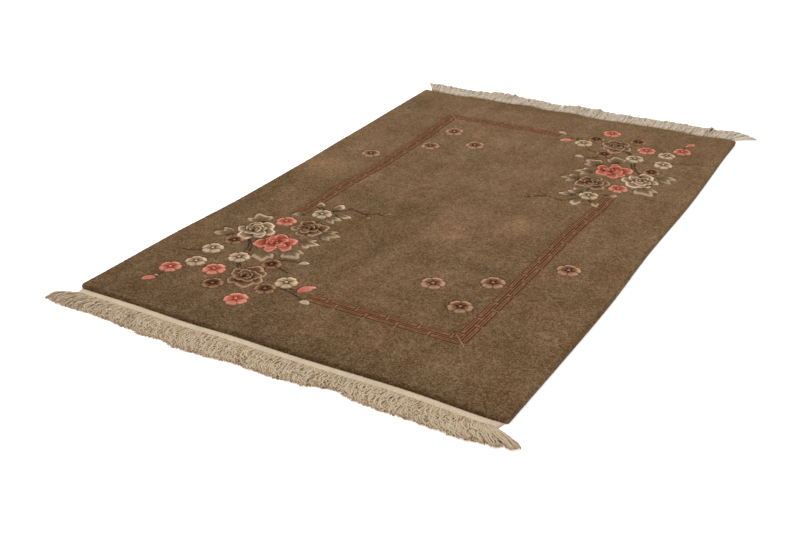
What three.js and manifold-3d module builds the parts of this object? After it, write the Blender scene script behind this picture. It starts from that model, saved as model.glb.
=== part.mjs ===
// A hand-knotted rug with a thick cut pile, lying flat, in millimetres with +Z up.
// X runs across the rug and Y along it, and the origin is under its middle, on the floor.
// The knotted body is one flat solid. At each end the bare warps are woven into a narrow flat web and then
// left loose, so each end is one comb: the web is its spine and the locks of yarn are its teeth.
import * as THREE from "three";
import { mergeVertices } from "three/addons/utils/BufferGeometryUtils.js";
import Module from "manifold-3d";

const wasm = await Module();
wasm.setup();

// Knotted body
const RUG_WIDTH = 1200;
const RUG_LENGTH = 1845;
const RUG_THICKNESS = 14; // foundation and pile together
const SHOULDER_RADIUS = 5; // the shorn pile rounds over at its edges
const CORNER_RADIUS = 14;
const BOW = 12.5; // the whole rug curves, so its middle lies this far to +X of its ends
const WAVE_EASE = 180; // the unevenness of an edge dies out over this length

// Web and fringe
const WEB_DEPTH = 25;
const WEB_THICKNESS = 3;
const PIECE_GAP = 0.3;
const LOCK_COUNT = 58;
const LOCK_ROOT_SHARE = 0.9; // of the pitch
const LOCK_TIP_SHARE = 0.6;
const LOCK_ROOT_LAP = 6; // a lock starts this far inside the web
const LOCK_LENGTH_SWING = 3; // neighbouring locks differ by up to this much either way
const LOCK_HEIGHT_SWING = 1;
const LOCK_SWING_TURN = 2.4; // radians from one lock to the next

// Steps that round the shapes
const LONG_SIDE_STEPS = 24;
const END_STEPS = 60;
const CORNER_STEPS = 4;
const SHOULDER_STEPS = 3;
const LOCK_STEPS = 4;

// Unevenness of the edges: at is the place along the edge, out how far the edge stands out there.
const LEFT_SIDE = [
  { at: -922, out: 0 },
  { at: -580, out: 3 },
  { at: -280, out: -6 },
  { at: 50, out: -4 },
  { at: 300, out: 1 },
  { at: 700, out: 4 },
  { at: 922, out: 3 },
];
const RIGHT_SIDE = [
  { at: -922, out: 0 },
  { at: -390, out: 2 },
  { at: -30, out: -5 },
  { at: 390, out: 2 },
  { at: 750, out: 0 },
  { at: 922, out: 3 },
];
const NEAR_END = [
  { at: -600, out: 0 },
  { at: -430, out: -1 },
  { at: -250, out: 3 },
  { at: -107, out: -1 },
  { at: 60, out: 1 },
  { at: 345, out: -4 },
  { at: 560, out: 4 },
  { at: 600, out: 3 },
];
const FAR_END = [
  { at: -600, out: 3 },
  { at: -460, out: -7 },
  { at: -385, out: 4 },
  { at: -260, out: 0 },
  { at: -165, out: 10 },
  { at: -85, out: -6 },
  { at: -5, out: 6 },
  { at: 95, out: -8 },
  { at: 250, out: 0 },
  { at: 390, out: 2 },
  { at: 480, out: -7 },
  { at: 565, out: 5 },
  { at: 600, out: 3 },
];

// The fringes: at is the place across, reach how far the tips lie from the pile, lean how far they swing to +X
// and height how thick the lock lies.
const NEAR_FRINGE = [
  { at: -580, reach: 72, lean: -66, height: 9 },
  { at: -545, reach: 86, lean: -44, height: 8 },
  { at: -480, reach: 88, lean: -20, height: 8 },
  { at: -400, reach: 89, lean: -8, height: 7 },
  { at: -310, reach: 99, lean: 4, height: 8 },
  { at: -265, reach: 94, lean: 8, height: 7 },
  { at: -205, reach: 104, lean: 10, height: 8 },
  { at: -110, reach: 105, lean: -4, height: 8 },
  { at: -30, reach: 93, lean: -6, height: 7 },
  { at: 60, reach: 97, lean: 6, height: 8 },
  { at: 140, reach: 92, lean: 2, height: 7 },
  { at: 190, reach: 79, lean: -8, height: 6 },
  { at: 240, reach: 73, lean: 0, height: 6 },
  { at: 270, reach: 89, lean: 6, height: 7 },
  { at: 390, reach: 95, lean: -4, height: 8 },
  { at: 490, reach: 90, lean: 14, height: 7 },
  { at: 550, reach: 89, lean: 42, height: 8 },
  { at: 580, reach: 70, lean: 76, height: 9 },
];
const FAR_FRINGE = [
  { at: -580, reach: 105, lean: -30, height: 9 },
  { at: -500, reach: 97, lean: -10, height: 9 },
  { at: -390, reach: 92, lean: 0, height: 9 },
  { at: -305, reach: 108, lean: 8, height: 11 },
  { at: -190, reach: 93, lean: -6, height: 9 },
  { at: -60, reach: 93, lean: -4, height: 9 },
  { at: 20, reach: 106, lean: 2, height: 12 },
  { at: 75, reach: 114, lean: 6, height: 15 },
  { at: 150, reach: 100, lean: 0, height: 10 },
  { at: 280, reach: 96, lean: -4, height: 9 },
  { at: 400, reach: 99, lean: 4, height: 9 },
  { at: 488, reach: 112, lean: 4, height: 15 },
  { at: 540, reach: 102, lean: 12, height: 9 },
  { at: 580, reach: 66, lean: 64, height: 8 },
];

const woolBrown = new THREE.MeshStandardMaterial({ color: 0x6f5740, roughness: 0.95, metalness: 0 });
const nearCottonCream = new THREE.MeshStandardMaterial({ color: 0xc3ae90, roughness: 0.9, metalness: 0 });
const farCottonCream = nearCottonCream.clone();

// A value that eases from row to row of a table, for the column named.
function along(table, column, at) {
  const next = table.findIndex((row) => row.at > at);
  if (next === 0) return table[0][column];
  if (next < 0) return table.at(-1)[column];
  const [low, high] = [table[next - 1], table[next]];
  return THREE.MathUtils.lerp(low[column], high[column], THREE.MathUtils.smoothstep(at, low.at, high.at));
}

// How much of an edge's unevenness is felt at a distance from the middle line.
function edgeShare(distance, edgeDistance) {
  return THREE.MathUtils.smoothstep(distance, edgeDistance - WAVE_EASE, edgeDistance);
}

// Where a point of the straight, even rug lies: u across it and v along it.
function laid(u, v) {
  const bowed = BOW * (0.5 - (2 * v / RUG_LENGTH) ** 2);
  const sideOut = edgeShare(Math.abs(u), RUG_WIDTH / 2) * along(u < 0 ? LEFT_SIDE : RIGHT_SIDE, "out", v);
  const endOut = edgeShare(Math.abs(v), RUG_LENGTH / 2) * along(v < 0 ? NEAR_END : FAR_END, "out", u);
  return new THREE.Vector2(u + bowed + Math.sign(u) * sideOut, v + Math.sign(v) * endOut);
}

// Steps along one stretch of the outline: a corner's arc, an end or a long side.
function stretchSteps(stretch) {
  if (stretch.isEllipseCurve) return CORNER_STEPS;
  const run = new THREE.Vector2().subVectors(stretch.v2, stretch.v1);
  return Math.abs(run.x) > Math.abs(run.y) ? END_STEPS : LONG_SIDE_STEPS;
}

// The body's outline, drawn in by inset, counter-clockwise from the near right corner.
function outline(inset) {
  const radius = CORNER_RADIUS - inset;
  const cornerX = RUG_WIDTH / 2 - CORNER_RADIUS;
  const cornerY = RUG_LENGTH / 2 - CORNER_RADIUS;
  const path = new THREE.Path();
  path.absarc(cornerX, -cornerY, radius, -Math.PI / 2, 0);
  path.absarc(cornerX, cornerY, radius, 0, Math.PI / 2);
  path.absarc(-cornerX, cornerY, radius, Math.PI / 2, Math.PI);
  path.absarc(-cornerX, -cornerY, radius, Math.PI, 1.5 * Math.PI);
  path.closePath();
  const points = path.curves.flatMap((stretch) => stretch.getPoints(stretchSteps(stretch)).slice(0, -1));
  return points.map((point) => laid(point.x, point.y));
}

// A closed skin over level rings of equal length, from the lowest to the highest, with a flat cap at each end.
function skinOver(rings) {
  const count = rings[0].plan.length;
  const highest = rings.length - 1;
  const positions = rings.flatMap((ring) => ring.plan.flatMap((point) => [point.x, point.y, ring.height]));
  const faces = [];
  for (let level = 0; level < highest; level += 1) {
    for (let i = 0; i < count; i += 1) {
      const low = level * count + i;
      const lowNext = level * count + (i + 1) % count;
      faces.push(low, lowNext, lowNext + count, low, lowNext + count, low + count);
    }
  }
  for (const [a, b, c] of THREE.ShapeUtils.triangulateShape(rings[0].plan, [])) {
    faces.push(a, c, b);
  }
  for (const corners of THREE.ShapeUtils.triangulateShape(rings[highest].plan, [])) {
    faces.push(...corners.map((corner) => highest * count + corner));
  }
  const skin = new THREE.BufferGeometry();
  skin.setAttribute("position", new THREE.Float32BufferAttribute(positions, 3));
  skin.setIndex(faces);
  return skin;
}

// The knotted body: straight walls from the floor, then the rounded shoulder up to the flat top of the pile.
function knottedBody() {
  const rings = [{ plan: outline(0), height: 0 }];
  for (let step = 0; step <= SHOULDER_STEPS; step += 1) {
    const turn = (step / SHOULDER_STEPS) * (Math.PI / 2);
    const inset = SHOULDER_RADIUS * (1 - Math.cos(turn));
    const height = RUG_THICKNESS - SHOULDER_RADIUS * (1 - Math.sin(turn));
    rings.push({ plan: outline(inset), height });
  }
  return skinOver(rings);
}

// A point past an end of the pile: u across it and out beyond it.
// side is -1 at the near end and 1 at the far end.
function pastEnd(side, u, out) {
  const edge = laid(u, side * RUG_LENGTH / 2);
  return new THREE.Vector2(edge.x, edge.y + side * out);
}

function extruded(points, height) {
  return new THREE.ExtrudeGeometry(new THREE.Shape(points), { depth: height, bevelEnabled: false });
}

// The flat-woven web, which follows the end of the pile between its rounded corners.
function webStrip(side) {
  const halfWidth = RUG_WIDTH / 2 - CORNER_RADIUS;
  const inner = [];
  const outer = [];
  for (let i = 0; i <= END_STEPS; i += 1) {
    const u = THREE.MathUtils.lerp(-halfWidth, halfWidth, i / END_STEPS);
    inner.push(pastEnd(side, u, PIECE_GAP));
    outer.push(pastEnd(side, u, WEB_DEPTH));
  }
  return extruded([...inner, ...outer.reverse()], WEB_THICKNESS);
}

// One lock of fringe: it leaves the web square and swings over to its tip, narrowing on the way.
function fringeLock(side, table, index) {
  const halfWidth = RUG_WIDTH / 2 - CORNER_RADIUS;
  const pitch = 2 * halfWidth / LOCK_COUNT;
  const u = -halfWidth + (index + 0.5) * pitch;
  const swing = Math.sin(LOCK_SWING_TURN * index);
  const reach = along(table, "reach", u) + LOCK_LENGTH_SWING * swing;
  const height = along(table, "height", u) + LOCK_HEIGHT_SWING * swing;
  const left = [];
  const right = [];
  for (let step = 0; step <= LOCK_STEPS; step += 1) {
    const share = step / LOCK_STEPS;
    const half = (pitch / 2) * THREE.MathUtils.lerp(LOCK_ROOT_SHARE, LOCK_TIP_SHARE, share);
    const middle = pastEnd(side, u, THREE.MathUtils.lerp(WEB_DEPTH - LOCK_ROOT_LAP, reach, share));
    middle.x += along(table, "lean", u) * share ** 2;
    left.push(new THREE.Vector2(middle.x - half, middle.y));
    right.push(new THREE.Vector2(middle.x + half, middle.y));
  }
  return extruded([...left, ...right.reverse()], height);
}

// A closed geometry as a solid that can be joined to others.
function solidOf(geometry) {
  geometry.deleteAttribute("normal");
  geometry.deleteAttribute("uv");
  const merged = mergeVertices(geometry);
  return new wasm.Manifold(new wasm.Mesh({
    numProp: 3,
    vertProperties: new Float32Array(merged.attributes.position.array),
    triVerts: new Uint32Array(merged.index.array),
  }));
}

function geometryOf(solid) {
  const mesh = solid.getMesh();
  const geometry = new THREE.BufferGeometry();
  geometry.setAttribute("position", new THREE.BufferAttribute(mesh.vertProperties, 3));
  geometry.setIndex(new THREE.BufferAttribute(mesh.triVerts, 1));
  return geometry;
}

// The web and all its locks as one comb.
function fringeComb(side, table) {
  let comb = solidOf(webStrip(side));
  for (let index = 0; index < LOCK_COUNT; index += 1) {
    comb = comb.add(solidOf(fringeLock(side, table, index)));
  }
  return geometryOf(comb);
}

function piece(name, geometry, material) {
  geometry.computeVertexNormals();
  const mesh = new THREE.Mesh(geometry, material);
  mesh.name = name;
  return mesh;
}

const rug = new THREE.Group();
rug.add(piece("knotted_rug", knottedBody(), woolBrown));
rug.add(piece("fringe_near", fringeComb(-1, NEAR_FRINGE), nearCottonCream));
rug.add(piece("fringe_far", fringeComb(1, FAR_FRINGE), farCottonCream));

export default rug;
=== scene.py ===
import math

import bpy
import numpy as np
from mathutils import Matrix, Vector
from mathutils.geometry import delaunay_2d_cdt


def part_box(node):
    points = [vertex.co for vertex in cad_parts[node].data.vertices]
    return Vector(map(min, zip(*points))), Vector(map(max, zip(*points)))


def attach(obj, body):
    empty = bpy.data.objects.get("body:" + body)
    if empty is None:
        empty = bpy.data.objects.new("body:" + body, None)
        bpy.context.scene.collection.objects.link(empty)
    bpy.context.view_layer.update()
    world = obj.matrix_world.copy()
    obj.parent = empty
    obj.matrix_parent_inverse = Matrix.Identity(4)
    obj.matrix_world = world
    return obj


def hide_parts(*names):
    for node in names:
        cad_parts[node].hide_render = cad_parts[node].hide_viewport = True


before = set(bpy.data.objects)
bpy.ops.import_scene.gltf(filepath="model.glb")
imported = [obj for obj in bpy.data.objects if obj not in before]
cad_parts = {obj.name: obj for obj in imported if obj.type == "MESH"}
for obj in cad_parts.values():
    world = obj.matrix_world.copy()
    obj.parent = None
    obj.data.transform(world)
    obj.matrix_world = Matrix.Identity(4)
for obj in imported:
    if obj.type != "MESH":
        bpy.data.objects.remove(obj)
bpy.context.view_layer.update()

# The knotted body is wool knots on a cotton foundation, made in one piece on the loom and shorn level.
# It lies flat, bowed a little to one side, and its edges waver by a few millimetres.
# Every knot has a place on a lattice, u across the rug and v along it, and a height and a dye of its own.
RUG_WIDTH = 1.200
RUG_LENGTH = 1.845
HALF_WIDTH = RUG_WIDTH / 2
HALF_LENGTH = RUG_LENGTH / 2
PILE_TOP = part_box("knotted_rug")[1].z
BOW = 0.0125
WAVE_EASE = 0.180
DRIFT_ACROSS = 0.012
DRIFT_BACK = 0.026
DRIFT_EASE = 0.080
# Each row: a place along the rug and the share of the drift there.
WEAVE_DRIFT = [(-0.05, 0.0), (0.22, 1.0), (0.46, 1.0), (0.62, 0.32), (0.80, 0.20), (0.92, 0.0)]
# Each row: the place along the edge and how far the edge stands out there.
LEFT_SIDE = [(-0.922, 0.000), (-0.580, 0.003), (-0.280, -0.006), (0.050, -0.004), (0.300, 0.001),
             (0.700, 0.004), (0.922, 0.003)]
RIGHT_SIDE = [(-0.922, 0.000), (-0.390, 0.002), (-0.030, -0.005), (0.390, 0.002), (0.750, 0.000),
              (0.922, 0.003)]
NEAR_END = [(-0.600, 0.000), (-0.430, -0.001), (-0.250, 0.003), (-0.107, -0.001), (0.060, 0.001),
            (0.345, -0.004), (0.560, 0.004), (0.600, 0.003)]
FAR_END = [(-0.600, 0.003), (-0.460, -0.007), (-0.385, 0.004), (-0.260, 0.000), (-0.165, 0.010),
           (-0.085, -0.006), (-0.005, 0.006), (0.095, -0.008), (0.250, 0.000), (0.390, 0.002),
           (0.480, -0.007), (0.565, 0.005), (0.600, 0.003)]
KNOT = 0.0024
HALF_KNOT = 0.5 * KNOT
CUT_HALF_WIDTH = 0.0019
FIELD_MARGIN = 0.006
# The field goes from darker at the near end to lighter at the far end: partly the dyer's batches, partly
# painted sheen on the far pile.
FIELD_BROWN_NEAR = (109, 84, 59)
FIELD_BROWN_FAR = (118, 92, 64)
FIELD_FADE = (-0.8, 0.5)
# Each row: a patch's u and v, its reach across and along, and how much lighter or darker it makes the
# field: partly rubbed wear and partly painted light and shade of folds and creases in the pile.
WORN_AND_CREASE_SHADED_PATCHES = [
    (-0.51, 0.085, 0.075, 0.11, 0.13), (0.067, -0.2, 0.06, 0.08, 0.12),
    (0.22, -0.06, 0.055, 0.07, 0.09), (-0.01, 0.02, 0.03, 0.035, 0.09), (0.07, 0.3, 0.03, 0.065, 0.09),
    (0.005, -0.55, 0.03, 0.11, 0.1), (-0.09, -0.47, 0.028, 0.06, 0.09),
    (0.115, -0.64, 0.045, 0.04, 0.08), (0.06, -0.81, 0.055, 0.05, 0.08),
    (0.49, -0.47, 0.08, 0.03, 0.07), (-0.33, 0.05, 0.02, 0.065, 0.08), (-0.46, 0.69, 0.045, 0.02, 0.08),
    (0.2, -0.74, 0.02, 0.07, 0.06), (0.42, 0.02, 0.03, 0.12, 0.05), (-0.15, 0.56, 0.12, 0.06, 0.05),
    (-0.31, -0.105, 0.3, 0.032, -0.08), (-0.05, -0.365, 0.04, 0.045, -0.09),
    (0.085, -0.372, 0.05, 0.035, -0.08), (0.26, -0.36, 0.05, 0.025, -0.07),
    (-0.115, -0.78, 0.07, 0.06, -0.08), (-0.55, 0.76, 0.05, 0.09, -0.08),
    (-0.565, -0.35, 0.035, 0.09, -0.07), (-0.22, 0.39, 0.06, 0.045, -0.06),
    (-0.05, 0.09, 0.035, 0.04, -0.06), (0.0, 0.9, 0.6, 0.03, -0.06), (0.0, -0.905, 0.6, 0.05, -0.09),
    (-0.52, -0.8, 0.09, 0.12, -0.05), (-0.2, -0.56, 0.06, 0.13, -0.05), (0.4, 0.33, 0.06, 0.02, -0.06),
]

rng = np.random.default_rng(41)


def ramp(value, low, high):
    """A smooth step: 0 below low, 1 above high, and 3t^2 - 2t^3 of the share between them."""
    share = np.clip((value - low) / (high - low), 0, 1)
    return share * share * (3 - 2 * share)


def bell(off, reach):
    """A bell curve: 1 at nothing off, and e to the power of minus the square of off over reach."""
    return np.exp(-(off / reach) ** 2)


def eased(rows, column, at):
    """The value of a table's column at any place, easing from row to row by a smooth step."""
    table = np.array(rows)
    places = table[:, 0]
    low = np.clip(np.searchsorted(places, at, side="right") - 1, 0, len(places) - 2)
    share = ramp(at, places[low], places[low + 1])
    return table[low, column] + share * (table[low + 1, column] - table[low, column])


def laid(u, v):
    """Where a point of the straight rug lies: the far half's weave drifts a little back and to the right, x
    is u plus the bow, a parabola in v, and near an edge the point moves out by that edge's unevenness,
    which fades to nothing over WAVE_EASE."""
    drift = eased(WEAVE_DRIFT, 1, v) * (1 - ramp(np.abs(u), HALF_WIDTH - DRIFT_EASE, HALF_WIDTH))
    u = u + DRIFT_ACROSS * drift
    v = v - DRIFT_BACK * drift
    side_out = np.where(u < 0, eased(LEFT_SIDE, 1, v), eased(RIGHT_SIDE, 1, v))
    end_out = np.where(v < 0, eased(NEAR_END, 1, u), eased(FAR_END, 1, u))
    side_share = ramp(np.abs(u), HALF_WIDTH - WAVE_EASE, HALF_WIDTH)
    end_share = ramp(np.abs(v), HALF_LENGTH - WAVE_EASE, HALF_LENGTH)
    bowed = BOW * (0.5 - (2 * v / RUG_LENGTH) ** 2)
    return u + bowed + np.sign(u) * side_share * side_out, v + np.sign(v) * end_share * end_out


def mixed(one, other, share):
    """Between two dyes, or two arrays of dyes, by a share for each knot."""
    one = np.asarray(one, float)
    return one + np.asarray(share)[..., None] * (np.asarray(other, float) - one)


def field_dye(at_u, at_v):
    """The field's brown goes from a darker near end to a lighter far end, partly the dyer's batches and
    partly painted sheen on the far pile, and every patch, of rubbed wear or of painted crease shade,
    lightens or darkens it by a bell curve of the distance from the patch's middle."""
    shade = np.ones(np.shape(at_u))
    for patch_u, patch_v, across_reach, along_reach, lighter in WORN_AND_CREASE_SHADED_PATCHES:
        off_patch = ((at_u - patch_u) / across_reach) ** 2 + ((at_v - patch_v) / along_reach) ** 2
        shade += lighter * np.exp(-off_patch)
    return mixed(FIELD_BROWN_NEAR, FIELD_BROWN_FAR, ramp(at_v, *FIELD_FADE)) * shade[..., None]


columns_each_way = int((HALF_WIDTH - FIELD_MARGIN) / KNOT)
rows_each_way = int((HALF_LENGTH - FIELD_MARGIN) / KNOT)
across = np.arange(-columns_each_way, columns_each_way + 1) * KNOT
along = np.arange(-rows_each_way, rows_each_way + 1) * KNOT
u, v = np.meshgrid(across, along)
dye = field_dye(u, v)
cut = np.zeros(u.shape)
sunk = np.zeros(u.shape)
near_cut = np.full(u.shape, 1.0)
hidden = np.full(u.shape, -1.0)


def windows(place, reach):
    """The knots within reach of a place, then those round the same place turned half round the rug's
    middle, because the whole design repeats by a half turn: their slices and their local x and y."""
    for turn in (1, -1):
        columns = slice(*np.searchsorted(across, turn * place[0] + np.array((-reach, reach))))
        rows = slice(*np.searchsorted(along, turn * place[1] + np.array((-reach, reach))))
        at = (rows, columns)
        yield at, turn * u[at] - place[0], turn * v[at] - place[1]


# The key fret is a border on two sides of the field, a band of redder brown with the key lines dark in it.
# It is knotted on a chart of three knots a step and the lines are sheared in: one key fills half the band,
# and the other half holds the same key turned half round and moved on by half a repeat.
FRET_STEP = 3 * KNOT
FRET_REPEAT = 12 * FRET_STEP
FRET_HALF = 3 * FRET_STEP
FRET_NEAR = 290.5 * KNOT
FRET_RIGHT = 153.5 * KNOT
FRET_FIRST_KEY = 0.0300
FRET_FIRST_TURNED_KEY = 0.0732
FRET_NEAR_RUN = 0.418
FRET_RIGHT_RUN = 0.978
FRET_ALONG = 0.0018
FRET_ACROSS_POINTS = 37
FRET_LINE_HALF = 0.0017
FRET_LIGHT_HALF = 0.0014
FRET_LINE_DEPTH = 0.0022
FRET_SKIRT = 0.0050
FRET_PROUD = 0.0002
FRET_EDGE_DOWN = 0.0008
MITRE_CLEAR = 0.003
MITRE_LIGHT = 0.80
BREAK_LIGHT = 0.75
BORDER_PAINTED_HIGHLIGHT = 0.60
# The key, in steps from its upright: s along the run and w out from the middle of the band. Its last
# stretch, the hook, is sheared shallower, as if it lay this much further off.
KEY_LINE = [(10.6, 0.5), (0.0, 0.5), (0.0, 2.5), (11.0, 2.5), (11.0, 1.5), (2.6, 1.5)]
KEY_FURTHER_OFF = (0, 0, 0, 0, 0.0009)
KEY_BREAK = 11.5
FRET_MOTTLE = 0.5
FRET_BROWN = (130, 92, 64)
FRET_DARK = (70, 35, 15)
FRET_LIGHT = (164, 126, 98)


def off_stretch(x, y, start, end):
    """Distance of each point from a straight stretch between two points."""
    run = np.subtract(end, start)
    share = np.clip(((x - start[0]) * run[0] + (y - start[1]) * run[1]) / (run @ run), 0, 1)
    return np.hypot(x - start[0] - share * run[0], y - start[1] - share * run[1])


def off_key(s, w):
    """Distance from the key's line, repeated along the run: to the nearest stretch of two repeats."""
    nearest = np.full(s.shape, 1.0)
    for back in (0, FRET_REPEAT):
        for start, end, further in zip(KEY_LINE, KEY_LINE[1:], KEY_FURTHER_OFF):
            start = np.multiply(start, FRET_STEP) + (back, 0)
            end = np.multiply(end, FRET_STEP) + (back, 0)
            nearest = np.minimum(nearest, off_stretch(s, w, start, end) + further)
    return nearest


def fret_surface(s, w):
    """The band's height over the field and its dye: bell curves of the distance from the key lines darken
    and sink it, others from the mitre and the breaks after the keys lighten it, and others along the
    borders paint a highlight on the band's carved edges."""
    s_key = np.where(w > 0, s - FRET_FIRST_KEY, FRET_FIRST_TURNED_KEY - s) % FRET_REPEAT
    line = bell(off_key(s_key, np.abs(w)), FRET_LINE_HALF) * (s - w > MITRE_CLEAR)
    mitre = MITRE_LIGHT * bell(s - w, FRET_LIGHT_HALF)
    breaks = BREAK_LIGHT * bell(s_key - KEY_BREAK * FRET_STEP, FRET_LIGHT_HALF)
    borders = BORDER_PAINTED_HIGHLIGHT * bell(FRET_HALF - FRET_LIGHT_HALF - np.abs(w), FRET_LIGHT_HALF)
    light = np.maximum(mitre, np.maximum(breaks, borders))
    colour = mixed(mixed(FRET_BROWN, FRET_LIGHT, light), FRET_DARK, line)
    edge = (np.abs(w) / FRET_HALF) ** 20
    return FRET_PROUD - FRET_LINE_DEPTH * line - FRET_EDGE_DOWN * edge, colour


def fret_band():
    """The L of the band as a closed strip: a section across it, with a skirt down into the pile, carried
    from the end of the near run to the mitre and on to the end of the right run. Along w, each run's s goes
    from the mitre, where s is w, to the run's end."""
    w = np.linspace(-FRET_HALF, FRET_HALF, FRET_ACROSS_POINTS)[None, :]
    near_share = np.linspace(1, 0, int(FRET_NEAR_RUN / FRET_ALONG))[:, None]
    right_share = np.linspace(0, 1, int(FRET_RIGHT_RUN / FRET_ALONG))[1:, None]
    near_s = w + near_share * (FRET_NEAR_RUN - w)
    right_s = w + right_share * (FRET_RIGHT_RUN - w)
    at_u = np.concatenate([FRET_RIGHT - near_s, FRET_RIGHT - w + 0 * right_s])
    at_v = np.concatenate([w - FRET_NEAR + 0 * near_s, right_s - FRET_NEAR])
    height, colour = fret_surface(np.concatenate([near_s, right_s]), w + 0 * at_u)
    foot = [-1, 0]
    at_u = np.concatenate([at_u, at_u[:, foot]], axis=1)
    at_v = np.concatenate([at_v, at_v[:, foot]], axis=1)
    height = np.concatenate([height, np.full((len(at_u), 2), -FRET_SKIRT)], axis=1)
    return at_u, at_v, PILE_TOP + height, np.concatenate([colour, colour[:, foot]], axis=1)


def loop_quads(index):
    """Quads between neighbouring loops of points, from the points' indices with one loop to a row."""
    after = np.roll(index, -1, axis=-1)
    corners = [index[..., :-1, :], index[..., 1:, :], after[..., 1:, :], after[..., :-1, :]]
    return np.stack(corners, axis=-1).reshape(-1, 4)


def strip_faces(length, loop):
    """Faces of a closed strip by index: quads round the section from one place along it to the next, and a
    face over each end."""
    index = np.arange(length * loop).reshape(length, loop)
    return loop_quads(index), np.stack([index[0], index[-1, ::-1]])


def linear(colour):
    """Linear light from colours of 0 to 255, by the sRGB curve's power of 2.4 above its toe."""
    share = np.asarray(colour, float) / 255
    return np.where(share <= 0.04045, share / 12.92, ((share + 0.055) / 1.055) ** 2.4)


def piece(name, points, faces, material):
    """One smooth mesh object from arrays, in place, carried by the frame's one body."""
    mesh = bpy.data.meshes.new(name)
    mesh.from_pydata(points.tolist(), [], faces)
    mesh.polygons.foreach_set("use_smooth", np.ones(len(mesh.polygons), bool))
    mesh.materials.append(material)
    made = bpy.data.objects.new(name, mesh)
    bpy.context.scene.collection.objects.link(made)
    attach(made, "root")
    return made


FABRIC_SPECULAR = 0.08
SHEEN_ROUGHNESS = 0.5


def fabric(name, roughness, sheen, sheen_tint):
    """A dull fabric's material with a constant sheen: the material, its nodes' maker, its shader, its links
    and the place of each point."""
    material = bpy.data.materials.new(name)
    material.use_nodes = True
    tree = material.node_tree
    shader = tree.nodes["Principled BSDF"]
    shader.inputs["Roughness"].default_value = roughness
    shader.inputs["Specular IOR Level"].default_value = FABRIC_SPECULAR
    shader.inputs["Sheen Weight"].default_value = sheen
    shader.inputs["Sheen Roughness"].default_value = SHEEN_ROUGHNESS
    shader.inputs["Sheen Tint"].default_value = (*sheen_tint, 1)

    def add(kind, settings=None, **inputs):
        """A node of that kind with its settings, and its inputs by name: values, or sockets to link."""
        made = tree.nodes.new(kind)
        for key, value in (settings or {}).items():
            setattr(made, key, value)
        for key, value in inputs.items():
            socket = made.inputs[int(key[1:])] if key[1:].isdigit() else made.inputs[key]
            if isinstance(value, bpy.types.NodeSocket):
                tree.links.new(value, socket)
            else:
                socket.default_value = value
        return made

    return material, add, shader, tree.links, add("ShaderNodeTexCoord").outputs["Object"]


def noise(vector, scale):
    """Noise of about one spot for each scale-th of a metre, from 0 to 1 round a half."""
    return add("ShaderNodeTexNoise", Vector=vector, Scale=scale, Detail=2.0, Roughness=0.55).outputs["Fac"]


def cells(vector, scale):
    """Cells of about one for each scale-th of a metre: their shades and the distance from their middles."""
    made = add("ShaderNodeTexVoronoi", Vector=vector, Scale=scale).outputs
    return add("ShaderNodeSeparateColor", Color=made["Color"]).outputs["Red"], made["Distance"]


def spread(value, low, high, least=0.3, most=0.7):
    """A value of least to most stretched to run from low to high."""
    made = add("ShaderNodeMapRange", Value=value)
    made.inputs["From Min"].default_value = least
    made.inputs["From Max"].default_value = most
    made.inputs["To Min"].default_value = low
    made.inputs["To Max"].default_value = high
    return made.outputs["Result"]


def maths(operation, *values, kind="ShaderNodeMath"):
    """One sum of single values: values or sockets in order."""
    inputs = {"_" + str(k): value for k, value in enumerate(values)}
    return add(kind, {"operation": operation}, **inputs).outputs[0]


def times(one, other):
    """One value times another."""
    return maths("MULTIPLY", one, other)


def vectors(operation, *values):
    """One sum of whole colours or places: values or sockets in order."""
    return maths(operation, *values, kind="ShaderNodeVectorMath")


def scaled(colour, factor):
    """A colour times a factor."""
    return add("ShaderNodeVectorMath", {"operation": "SCALE"}, _0=colour, Scale=factor).outputs["Vector"]


def finished(colour, strength, distance, height):
    """Gives the fabric its colour, and a bump of that strength and distance from a height."""
    links.new(colour, shader.inputs["Base Color"])
    bump = add("ShaderNodeBump", Strength=strength, Distance=distance, Height=height)
    links.new(bump.outputs["Normal"], shader.inputs["Normal"])


# Wool: every tuft and every few tufts have a shade of their own, and each tuft darkens round its edge, a
# painted shade between tufts. Then come a mottle, lengthwise streaks of brushed pile and crosswise batches
# of dye. Fibres stray from tuft to tuft. The grain's light and dark lean to grey more than to colour,
# partly tone and partly a painted glint on lit fibres and painted shade between them. The dye's alpha is
# the mottle's share.
FIBRE_REACH = (0.006, 0.006, 0.006)
GRAIN_GLINT_AND_SHADE = (0.056, 0.047, 0.038)
FIBRE_TINT = 0.55
COOL = (0.970, 1.005, 0.980, 1)
WARM = (1.040, 0.995, 0.985, 1)
wool, add, shader, links, place = fabric("pile_wool", 0.95, 0.06, (0.75, 0.58, 0.42))
lengthwise = add("ShaderNodeMapping", Vector=place, Scale=(1.0, 0.35, 1.0)).outputs["Vector"]
crosswise = add("ShaderNodeMapping", Vector=place, Scale=(0.3, 1.0, 1.0)).outputs["Vector"]
fibres = add("ShaderNodeTexNoise", Vector=place, Scale=750.0, Detail=3.0, Roughness=0.6).outputs
ragged = vectors("MULTIPLY_ADD", fibres["Color"], FIBRE_REACH, place)
tuft_shade, off_tuft = cells(ragged, 300.0)
bunch_shade, _ = cells(ragged, 135.0)
bunched = times(spread(tuft_shade, 0.56, 1.44, 0.0, 1.0), spread(bunch_shade, 0.90, 1.10, 0.0, 1.0))
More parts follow.
